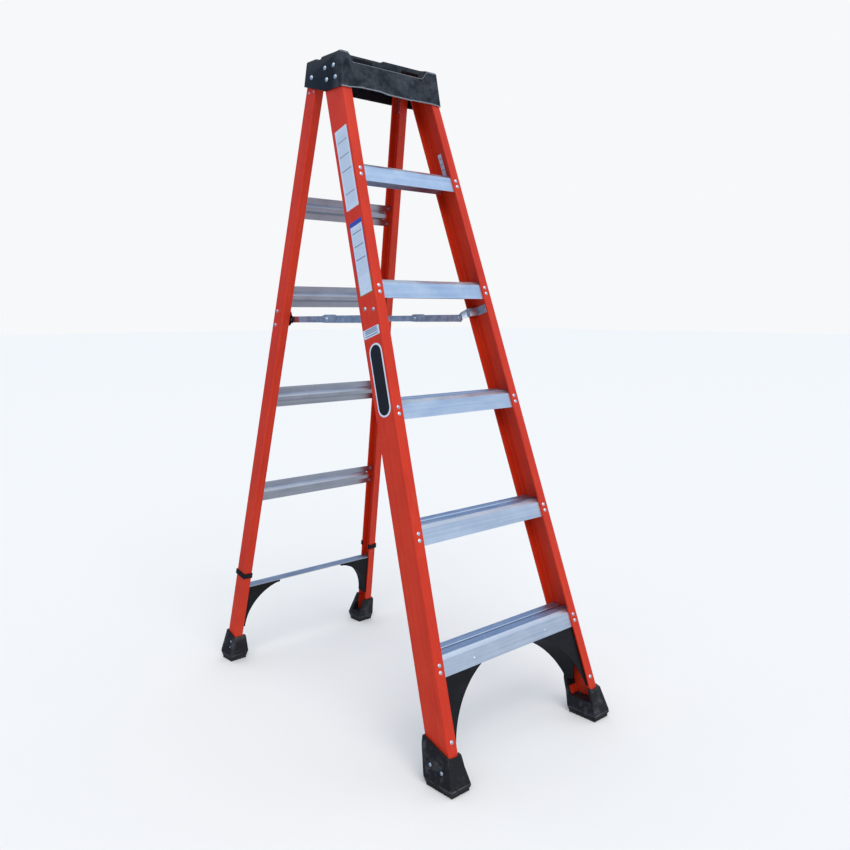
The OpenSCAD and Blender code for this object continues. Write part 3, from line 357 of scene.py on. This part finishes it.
def drawn_aluminium(name, base, bright, roughness, painted_top_reflection=0.0, shade_grooves=False):
    """Mill aluminium with lengthwise die lines; upward faces get a darker, bluer painted
    reflection.
    """
    material, s, shader = finish(name, Metallic=1.0)
    facing_up = s.add("NewGeometry", {}, out=1).part(2).ramp(0.9, 0.985)
    lines = s.place(stretch=(0.02, 1, 1))
    fine = s.noise(lines, 1400, 3, 0.6)
    broad = s.noise(lines, 160, 3)
    stain = s.noise(s.place(stretch=(0.6, 1, 1)), 22, 5, 0.65)
    colour = (broad * 0.5 + stain * 0.5).ramp(0.35, 0.65).mixed(base, bright)
    # painted reflection: faces that look up are darkened towards the sky's blue
    colour = (facing_up * painted_top_reflection).mixed(colour, (0.16, 0.24, 0.40))
    if shade_grooves:
        # painted shade in the sunk middle of each tread, which lies just below that step's level
        level = (s.place().part(2) + TREAD_SINK) * (1 / RISE)
        painted_groove_shade = level.math("FRACT").ramp(0.9, 0.95) * facing_up
        colour = (painted_groove_shade * 0.8).mixed(colour, (0.03, 0.055, 0.12))
    rough = stain.ramp(0.3, 0.7, roughness - 0.05, roughness + 0.09) + fine * 0.06
    lay_on(s, shader, Base_Color=colour, Roughness=rough, Normal=s.bump(fine, 0.00008, 0.5))
    return material


# the blue tint in these aluminium colours is partly painted sky reflection on nearly neutral metal
step_metal = drawn_aluminium(
    "step_aluminium", (0.60, 0.69, 0.82), (0.80, 0.87, 0.96), 0.34, painted_top_reflection=0.62, shade_grooves=True)
dress([f"step_{i}" for i in range(1, 6)], step_metal)
bar_metal = drawn_aluminium(
    "horizontal_aluminium", (0.46, 0.51, 0.60), (0.64, 0.69, 0.78), 0.34, painted_top_reflection=0.45)
dress([*(f"rear_horizontal_{i}" for i in range(1, 5)), "rear_bottom_bar"], bar_metal)


# --- Plated steel ------------------------------------------------------------------------------
# Spreader arms and brackets are pressed from steel strip, and pins, bolts and rivets from wire.
# All have bright zinc plate, which is slightly blue and cloudy, and brightest on the rivets.
def zinc_finish(name, dark, bright, roughness):
    """Zinc plate that is cloudy from dark to bright, and rougher where it is bright."""
    material, s, shader = finish(name, Metallic=1.0)
    where = s.place()
    cloud = s.noise(where, 45, 5, 0.65)
    grain = s.noise(where, 700, 2)
    colour = cloud.ramp(0.35, 0.65).mixed(dark, bright)
    rough = cloud.ramp(0.3, 0.7, roughness, roughness + 0.16)
    lay_on(s, shader, Base_Color=colour, Roughness=rough, Normal=s.bump(grain, 0.00006, 0.4))
    return material


strip_zinc = zinc_finish("spreader_zinc", (0.52, 0.58, 0.66), (0.84, 0.88, 0.93), 0.27)
dress(pair("front_arm", "rear_arm", "front_bracket", "hinge_plate"), strip_zinc, soften=0.0004)
rivet_zinc = zinc_finish("rivet_zinc", (0.62, 0.71, 0.80), (0.86, 0.93, 0.98), 0.28)
fasteners = [name for name in nodes if name.endswith(("rivets", "bolts", "pins"))]
dress(fasteners + pair("centre_rivet"), rivet_zinc)


# --- Black plastic -----------------------------------------------------------------------------
# Gussets, brackets, clips and feet are moulded in charcoal black nylon and riveted on. A fine
# spark texture catches the light, and hands, tools and the floor have rubbed paler patches.
def plastic_finish(name, dark, worn, wear, rim_z=None):
    """Moulded nylon, dark with worn patches; an edge at height rim_z is worn pale."""
    material, s, shader = finish(name, Specular_IOR_Level=0.25)
    where = s.place()
    grain = s.noise(where, 900, 2)
    rub = s.noise(where, 24, 6, 0.7).ramp(0.5, 0.72)
    scratch = s.noise(s.place(stretch=(0.15, 1, 1)), 180, 4, 0.7).ramp(0.6, 0.72)
    colour = ((rub * 0.8 + scratch * 0.5) * wear).mixed(dark, worn)
    if rim_z:
        rim = between(where.part(2), rim_z, rim_z + 0.0012, 0.0006)
        rim = rim * s.noise(where, 90, 4, 0.7).ramp(0.4, 0.6)
        colour = (rim * 0.5).mixed(colour, (0.25, 0.25, 0.27))
    lay_on(s, shader, Base_Color=colour, Roughness=rub.ramp(0, 1, 0.46, 0.62),
           Normal=s.bump(grain, 0.0001, 0.55))
    return material


# the feet's walls end at a rim just over their rubber pads
FOOT_RIM_Z = 0.0165
black = plastic_finish("black_plastic", (0.004, 0.004, 0.0055), (0.022, 0.024, 0.030), 0.5)
dress(pair("front_gusset", "rear_gusset", "rear_bracket", "rail_clip"), black, soften=0.0007)
boot_black = plastic_finish(
    "boot_plastic", (0.010, 0.010, 0.012), (0.11, 0.11, 0.12), 0.8, FOOT_RIM_Z)
dress(pair("front_foot", "rear_foot"), boot_black, soften=0.0014, segments=3)
dress(["hinge_washers"], black)


# --- Top cap -----------------------------------------------------------------------------------
# One injection-moulded shell of black nylon with walls about 4 mm thick. A leaning skirt and a
# slotted band join two raised end blocks. Its creases and edges are pale, partly worn by long use
# and partly painted highlights.
CAP_HALF = 0.17266
CAP_WALL = 0.0036
CAP_CORNER = 0.006
CAP_OVERHANG = 0.004


def front_plane_y(z):
    return FRONT_Y + z * math.tan(FRONT_LEAN)


def cap_half_width(y, z):
    """Half the cap's width over its side plates, which lean in with the rails' webs."""
    up_plane = z / math.cos(FRONT_LEAN) + (y - front_plane_y(z)) * math.sin(FRONT_LEAN)
    return FRONT_HALF + CAP_OVERHANG - up_plane * math.tan(FRONT_FLARE)


def eased(value, low, high):
    t = min(1, max(0, (value - low) / (high - low)))
    return t * t * (3 - 2 * t)


def stepped(value, stops):
    """Straight lines between (place, height) stops."""
    for (x0, h0), (x1, h1) in zip(stops, stops[1:]):
        if value <= x1:
            return h0 + (h1 - h0) * max(0, value - x0) / (x1 - x0)
    return stops[-1][1]


def part_way(first, second, share):
    return tuple(a + (b - a) * share for a, b in zip(first, second))


# how far out from the middle each end block's slope runs, and its raised pad's edge
LEFT_SLOPE = (0.1245, 0.150)
RIGHT_SLOPE = (0.1235, 0.134)
PAD_SLOPE = (0.1365, 0.1395)
PAD_RIM = 0.168
PAD_NOTCH_YS = (0.1050, 0.1280)
DECK_Z = 1.8118
PAD_Z = 1.8168

# the heights of the skirt's lower edge and of the band's top, from left to right
SKIRT_EDGE = (
    (-0.16, 1.723), (-0.148, 1.7222), (-0.136, 1.7255), (-0.110, 1.7285), (-0.036, 1.7285),
    (-0.024, 1.7245), (0.055, 1.7238), (0.062, 1.7222), (0.070, 1.7245), (0.120, 1.7255),
    (0.142, 1.7255), (0.160, 1.723))
BAND_TOP = ((-0.112, 1.8150), (-0.022, 1.8150), (-0.014, 1.8196), (0.13, 1.8196))

# the skirt stands off the rails' front plane and swells a little between its edge and its crease
SKIRT_OFF = 0.0042
SKIRT_SWELL = 0.0012
CREASE = (0.0248, 1.796)
BLOCK_CREASE = (0.0138, 1.8135)

# each row's share of the way up the skirt, or its Y along the deck, and its pale wear and painted
# highlight
SKIRT_ROWS = ((0, 1.0), (0.022, 0.75), (0.05, 0.12), (0.2, 0.05), (0.42, 0.1), (0.64, 0.12),
              (0.84, 0.08), (0.955, 0.1), (0.985, 0.7), (1, 1.0))
DECK_YS = (0.046, 0.060, 0.080, 0.095, 0.1024, 0.1074, 0.117, 0.1254, 0.1314, 0.135, 0.137,
           0.150, 0.165, 0.1735)

# the round rear edge, as Y and depth below the rim, and then the rear wall down to the heel
REAR_ROUND = ((0.1775, 0.0004, 0.5), (0.1792, 0.0020, 0.6), (0.1800, 0.0045, 0.2))
REAR_ROWS = ((0.3, 0.05), (0.65, 0.05), (0.96, 0.1), (1, 0.6))
HEEL = (0.18936, 1.7538)


def cap_section(x):
    """The cap's outer line at x, from the skirt's edge to the heel, as (y, z, rub) rows."""
    wide = abs(x)
    block = eased(wide, *(LEFT_SLOPE if x < 0 else RIGHT_SLOPE))
    raised = eased(wide, *PAD_SLOPE)
    edge_z = stepped(x, SKIRT_EDGE)
    edge = (front_plane_y(edge_z) - SKIRT_OFF, edge_z)
    crease = part_way(CREASE, BLOCK_CREASE, block)
    line = []
    for share, rub in SKIRT_ROWS:
        y, z = part_way(edge, crease, share)
        line.append((y - SKIRT_SWELL * math.sin(math.pi * share) * (1 - block), z, rub))
    # the slotted band turns up from the crease and over to the deck, or is the block's round edge
    top = stepped(x, BAND_TOP)
    for band, over_block, rub in (
            ((0.0262, 1.7966), (0.0142, 1.8141), 0.75),
            ((0.0300, 1.7970), (0.0146, 1.8146), 0.1),
            ((0.0301, 1.7978), (0.0150, 1.8150), 0.05),
            ((0.0303, 1.8012), (0.0154, 1.8154), 0.0),
            ((0.0306, 1.8078), (0.0158, 1.8158), 0.05),
            ((0.0312, top - 0.0035), (0.0166, 1.8166), 0.15),
            ((0.0322, top - 0.0010), (0.0180, 1.8171), 0.3),
            ((0.0345, top), (0.0205, 1.8173), 0.45),
            ((0.0372, top - 0.0008), (0.0260, 1.8172), 0.4),
            ((0.0388, DECK_Z + 0.0012), (0.0340, 1.8170), 0.2),
            ((0.0402, DECK_Z), (0.0402, PAD_Z), 0.1)):
        line.append((*part_way(band, over_block, block), rub))
    rim = DECK_Z + (PAD_Z - DECK_Z) * raised
    for y in DECK_YS:
        notched = PAD_NOTCH_YS[0] < y < PAD_NOTCH_YS[1]
        on_pad = raised > 0.5 and not notched
        rub = (1.0 if wide > PAD_RIM else 0.55) if on_pad else 0.12
        line.append((y, DECK_Z if notched else rim, rub))
    line += [(y, rim - drop, rub) for y, drop, rub in REAR_ROUND]
    rear_top = line[-1][:2]
    for share, rub in REAR_ROWS:
        line.append((*part_way(rear_top, HEEL, share), rub))
    return line


# the rows of a section where the slots begin, where its top begins and where its front ends
SLOT_ROW = 12
TOP_ROW = 16
FRONT_END_ROW = 18
REAR_FROM_Y = 0.17
# the top sinks by this share of the corners' turn, and the side plates get little pale wear and
# painted highlight
END_SINK = 0.25
SIDE_WEAR_AND_HIGHLIGHT = 0.05

SLOTS = ((-0.119, -0.053), (0.049, 0.115))
MIDDLE_NOTCH = (-0.022, 0.008)
TRAY_XS, TRAY_YS = (-0.030, 0.030), (0.095, 0.135)
HOLE_XS, HOLE_YS = (-0.095, -0.070, 0.070, 0.095), (0.117, 0.137)
HOLE_REACH = 0.010
HOLE_R = 0.008
TINY = 0.0001

# the grid's places across the cap, first those on both sides and then those on one side
MIRRORED_XS = (
    0.030, 0.045, 0.060, 0.080, 0.085, 0.105, 0.1225, 0.127, 0.1305, 0.134, 0.1365, 0.1395,
    0.146, 0.152, 0.158, 0.1625,
    *(CAP_HALF - inset for inset in (0, 0.0004, 0.0015, 0.0033, CAP_CORNER)))
SINGLE_XS = (-0.119, -0.112, -0.095, -0.069, -0.053, -0.022, -0.012, 0, 0.008, 0.015, 0.049,
             0.070, 0.095, 0.115)
cap_xs = sorted([*SINGLE_XS, *MIRRORED_XS, *(-x for x in MIRRORED_XS)])

bm = bmesh.new()
wear_and_highlight_layer = bm.verts.layers.float.new("rub")
grid = []
for x in cap_xs:
    column = []
    inset = CAP_HALF - abs(x)
    for row, (y, z, rub) in enumerate(cap_section(x)):
        if inset < CAP_CORNER:
            turn = CAP_CORNER - math.sqrt(CAP_CORNER ** 2 - (CAP_CORNER - inset) ** 2)
            if row < FRONT_END_ROW:
                y += turn
            elif y > REAR_FROM_Y:
                y -= turn
            if row >= TOP_ROW:
                z -= turn * END_SINK
        vert = bm.verts.new((x / CAP_HALF * cap_half_width(y, z), y, z))
        vert[wear_and_highlight_layer] = SIDE_WEAR_AND_HIGHLIGHT if inset < 2 * TINY else rub
        column.append(vert)
    grid.append(column)
row_ys = [y for y, z, rub in cap_section(0)]


def within(low, high, span):
    return span[0] - TINY < low and high < span[1] + TINY


def left_open(x0, x1, row):
    """Whether the shell has an opening between columns x0 and x1 above a row."""
    y0, y1 = row_ys[row], row_ys[row + 1]
    slot = row in (SLOT_ROW, SLOT_ROW + 1) and any(within(x0, x1, slot) for slot in SLOTS)
    notch = row == SLOT_ROW and within(x0, x1, MIDDLE_NOTCH)
    tray = within(x0, x1, TRAY_XS) and within(y0, y1, TRAY_YS)
    hole = within(y0, y1, HOLE_YS) and any(
        within(x0, x1, (middle - HOLE_REACH, middle + HOLE_REACH)) for middle in HOLE_XS)
    return slot or notch or tray or hole


for (x0, left), (x1, right) in zip(zip(cap_xs, grid), zip(cap_xs[1:], grid[1:])):
    for row in range(len(left) - 1):
        if not left_open(x0, x1, row):
            bm.faces.new((left[row], right[row], right[row + 1], left[row + 1]))

# each tool hole is a round rim inside the square that was left open for it
hole_rows = [row for row, y in enumerate(row_ys) if within(y, y, HOLE_YS)]
hole_y = sum(HOLE_YS) / 2
for middle in HOLE_XS:
    across = [column for x, column in zip(cap_xs, grid) if abs(x - middle) < HOLE_REACH + TINY]
    square = [column[hole_rows[0]] for column in across]
    square += [across[-1][row] for row in hole_rows[1:]]
    square += [column[hole_rows[-1]] for column in across[-2::-1]]
    square += [across[0][row] for row in hole_rows[-2:0:-1]]
    centre = Vector((middle * cap_half_width(hole_y, DECK_Z) / CAP_HALF, hole_y, DECK_Z))
    rim = [bm.verts.new(centre + (vert.co - centre).normalized() * HOLE_R) for vert in square]
    for i in range(len(square)):
        j = (i + 1) % len(square)
        bm.faces.new((square[i], square[j], rim[j], rim[i]))

# a side plate closes each end, down to a point between the front and rear rails
PLATE_POINT = (0.081, 1.723)
for column, sign in ((grid[0], -1), (grid[-1], 1)):
    point = bm.verts.new((sign * cap_half_width(*PLATE_POINT), *PLATE_POINT))
    point[wear_and_highlight_layer] = SIDE_WEAR_AND_HIGHLIGHT
    outline = column + [point]
    bm.faces.new(outline[::-1] if sign > 0 else outline)


def on_skirt(face):
    middle = face.calc_center_median()
    return abs(middle.x) < 0.05 and middle.y < 0.02 and middle.z < 1.77


# the faces agree with each other, and the skirt's look forward, so the wall grows inwards
bmesh.ops.recalc_face_normals(bm, faces=bm.faces[:])
if next(filter(on_skirt, bm.faces)).normal.y > 0:
    bmesh.ops.reverse_faces(bm, faces=bm.faces[:])
cap_mesh = bpy.data.meshes.new("cap_moulding")
bm.to_mesh(cap_mesh)
bm.free()
cap = bpy.data.objects.new("cap_moulding", cap_mesh)
bpy.context.scene.collection.objects.link(cap)

SHARP = math.radians(38)
wall = cap.modifiers.new("wall", "SOLIDIFY")
wall.thickness = CAP_WALL
wall.offset = -1
wall.use_even_offset = True
trim = cap.modifiers.new("trim", "BEVEL")
trim.width = 0.0009
trim.segments = 2
trim.limit_method = "ANGLE"
trim.angle_limit = SHARP
for face in cap_mesh.polygons:
    face.use_smooth = True
cap_mesh.set_sharp_from_angle(angle=SHARP)

nylon, s, shader = finish("cap_nylon", Specular_IOR_Level=0.22)
at = s.place()
# the rows' pale values mark creases and edges that are partly worn and partly painted highlights
wear_and_highlight = s.add("Attribute", {}, out=2, attribute_name="rub")
chatter = s.noise(at, 170, 4, 0.65)
front = at.part(1).ramp(0.028, 0.05, 1, 0.12)
haze = s.noise(at, 26, 5, 0.65).ramp(0.38, 0.66) * front
scratch = s.noise(s.place(turn=(0, 0.35, 0), stretch=(0.12, 1, 1)), 210, 4, 0.7).ramp(0.6, 0.7)
worn = (wear_and_highlight * 1.25 + chatter * 0.9).ramp(1.15, 1.55)
colour = haze.mixed((0.0045, 0.0065, 0.010), (0.046, 0.053, 0.064))
colour = (scratch * front * 0.45).mixed(colour, (0.12, 0.13, 0.15))
colour = (worn * 0.8).mixed(colour, (0.30, 0.34, 0.38))
lay_on(s, shader, Base_Color=colour, Roughness=haze.ramp(0, 1, 0.42, 0.58) + worn * 0.15,
       Normal=s.bump(s.noise(at, 900, 2), 0.0001, 0.5))
cap_mesh.materials.append(nylon)
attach(cap, "front_frame")
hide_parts("top_cap")


# --- Foot pads ---------------------------------------------------------------------------------
# Moulded rubber pads that the feet's open ends hold. They are black and matt, and dusty where
# they have stood on the floor.
rubber, s, shader = finish("rubber", Specular_IOR_Level=0.3)
dust = s.noise(s.place(), 60, 5, 0.7).ramp(0.45, 0.75)
lay_on(s, shader, Base_Color=dust.mixed((0.012, 0.012, 0.012), (0.05, 0.048, 0.045)),
       Roughness=dust.ramp(0, 1, 0.7, 0.9), Normal=s.bump(s.noise(s.place(), 500, 3), 0.0002, 0.5))
dress(pair("front_tread", "rear_tread"), rubber)


# --- Floor and light ---------------------------------------------------------------------------
# A plain pale floor under an even, soft light: a wide sun from the front left and a pale sky that
# is bluer near the horizon, which the bright metal mirrors.
floor_mesh = bpy.data.meshes.new("floor")
FLOOR_REACH = 40
corners = [(x * FLOOR_REACH, y * FLOOR_REACH, 0) for x, y in ((-1, -1), (1, -1), (1, 1), (-1, 1))]
floor_mesh.from_pydata(corners, [], [(0, 1, 2, 3)])
floor = bpy.data.objects.new("floor", floor_mesh)
floor.visible_glossy = False
bpy.context.scene.collection.objects.link(floor)
paint, s, shader = finish("floor_paint", Roughness=0.9, Base_Color=(0.90, 0.87, 0.83, 1))
floor_mesh.materials.append(paint)

sun = bpy.data.lights.new("sun", "SUN")
sun.energy = 1.25
sun.angle = math.radians(45)
sun.color = (1.0, 0.97, 0.93)
lamp = bpy.data.objects.new("sun", sun)
lamp.rotation_euler = Vector((0.35, 0.75, -0.9)).to_track_quat("-Z", "Y").to_euler()
bpy.context.scene.collection.objects.link(lamp)

sky = bpy.data.worlds.new("sky")
sky.use_nodes = True
s = Shade(sky.node_tree)
towards = s.add("TexCoord", {}, out=0)
rise = towards.part(2).ramp(-1, 1)
behind = towards.part(1).ramp(-0.25, 0.35)
# the sky from straight below (0) over the horizon (0.5) to straight above (1)
SKY_FRONT = (
    (0.0, (0.45, 0.47, 0.50)), (0.49, (0.45, 0.47, 0.50)), (0.54, (0.58, 0.65, 0.76)),
    (0.64, (0.60, 0.69, 0.82)), (0.71, (0.40, 0.57, 0.82)), (0.80, (0.45, 0.62, 0.88)),
    (0.90, (0.95, 0.98, 1.0)), (1.0, (0.98, 1.0, 1.0)),
)
SKY_BEHIND = (
    (0.0, (0.20, 0.23, 0.28)), (0.49, (0.20, 0.23, 0.28)), (0.5, (0.16, 0.26, 0.47)),
    (0.575, (0.19, 0.31, 0.56)), (0.675, (0.32, 0.46, 0.70)), (0.85, (0.85, 0.93, 1.0)),
    (1.0, (0.98, 1.0, 1.0)),
)
in_front, at_the_back = (s.add("ValToRGB", {"Fac": rise}, stops=stops)
                         for stops in (SKY_FRONT, SKY_BEHIND))
glow = behind.mixed(in_front, at_the_back)
# the backdrop that the viewer sees is plain, while the glow lights the ladder and its mirrors
seen = s.add("LightPath", {}, out=0)
background = sky.node_tree.nodes["Background"]
sky.node_tree.links.new(seen.mixed(glow, (0.93, 0.94, 0.95)).socket, background.inputs["Color"])
background.inputs["Strength"].default_value = 1.0
bpy.context.scene.world = sky
bpy.context.scene.view_settings.view_transform = "Standard"
